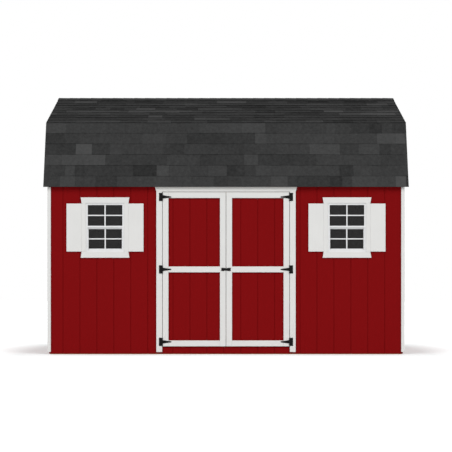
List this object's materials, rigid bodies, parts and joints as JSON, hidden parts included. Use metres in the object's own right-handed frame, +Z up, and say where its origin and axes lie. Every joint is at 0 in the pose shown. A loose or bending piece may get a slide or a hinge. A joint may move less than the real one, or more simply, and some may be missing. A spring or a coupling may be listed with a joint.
{
  "type": "gambrel-roofed storage barn",
  "caption": "Red wooden storage barn with a gambrel shingle roof, white trim, shuttered windows and a pair of hinged doors in its long front.",
  "frame": {"origin": "on the ground, at the middle of the roof's plan", "axes": "+X along the long front to the right, +Y towards the back, +Z up"},
  "size_m": [4.373, 3.168, 3.2934],
  "materials": {
    "framing_lumber": "planed bare softwood",
    "sheathing": "bare strand board",
    "red_siding": "satin barn-red paint",
    "shingles": "mineral granules on asphalt felt",
    "white_trim": "satin white paint",
    "window_vinyl": "white vinyl",
    "window_glass": "clear float glass",
    "black_iron": "black powder coat"
  },
  "bodies": {
    "barn": {"floor_joists": "framing_lumber", "rim_joists": "framing_lumber", "bottom_plates": "framing_lumber", "front_studs": "framing_lumber", "back_studs": "framing_lumber", "gable_studs": "framing_lumber", "top_plates": "framing_lumber", "opening_framing": "framing_lumber", "lower_rafters": "framing_lumber", "upper_rafters": "framing_lumber", "floor_deck": "sheathing", "rafter_gussets": "sheathing", "roof_decks": "sheathing", "front_siding_left": "red_siding", "front_siding_right": "red_siding", "door_siding_strips": "red_siding", "back_siding": "red_siding", "left_gable_siding": "red_siding", "right_gable_siding": "red_siding", "eave_soffits": "red_siding", "lower_shingles": "shingles", "front_upper_shingles": "shingles", "back_upper_shingles": "shingles", "ridge_cap": "shingles", "long_side_corner_boards": "white_trim", "gable_corner_boards": "white_trim", "rake_boards": "white_trim", "door_side_casings": "white_trim", "door_head_board": "white_trim", "window_head_and_sill_boards": "white_trim", "window_side_casings": "white_trim", "shutters": "white_trim", "window_frames": "window_vinyl", "window_glass": "window_glass", "hinge_butts": "black_iron"},
    "left_leaf": {"left_leaf_panel": "red_siding", "left_leaf_stiles": "white_trim", "left_leaf_rails": "white_trim", "left_hinge_straps": "black_iron", "latch_bolt": "black_iron"},
    "right_leaf": {"right_leaf_panel": "red_siding", "right_leaf_stiles": "white_trim", "right_leaf_rails": "white_trim", "right_hinge_straps": "black_iron", "latch_keeper": "black_iron"}
  },
  "joints": [
    {"name": "left_door_swing", "type": "hinge", "parent": "barn", "child": "left_leaf", "pos_m": [-0.7625, -1.555, 0], "axis": [0, 0, -1], "range_deg": [0, 175]},
    {"name": "right_door_swing", "type": "hinge", "parent": "barn", "child": "right_leaf", "pos_m": [0.7625, -1.555, 0], "axis": [0, 0, 1], "range_deg": [0, 175]}
  ]
}
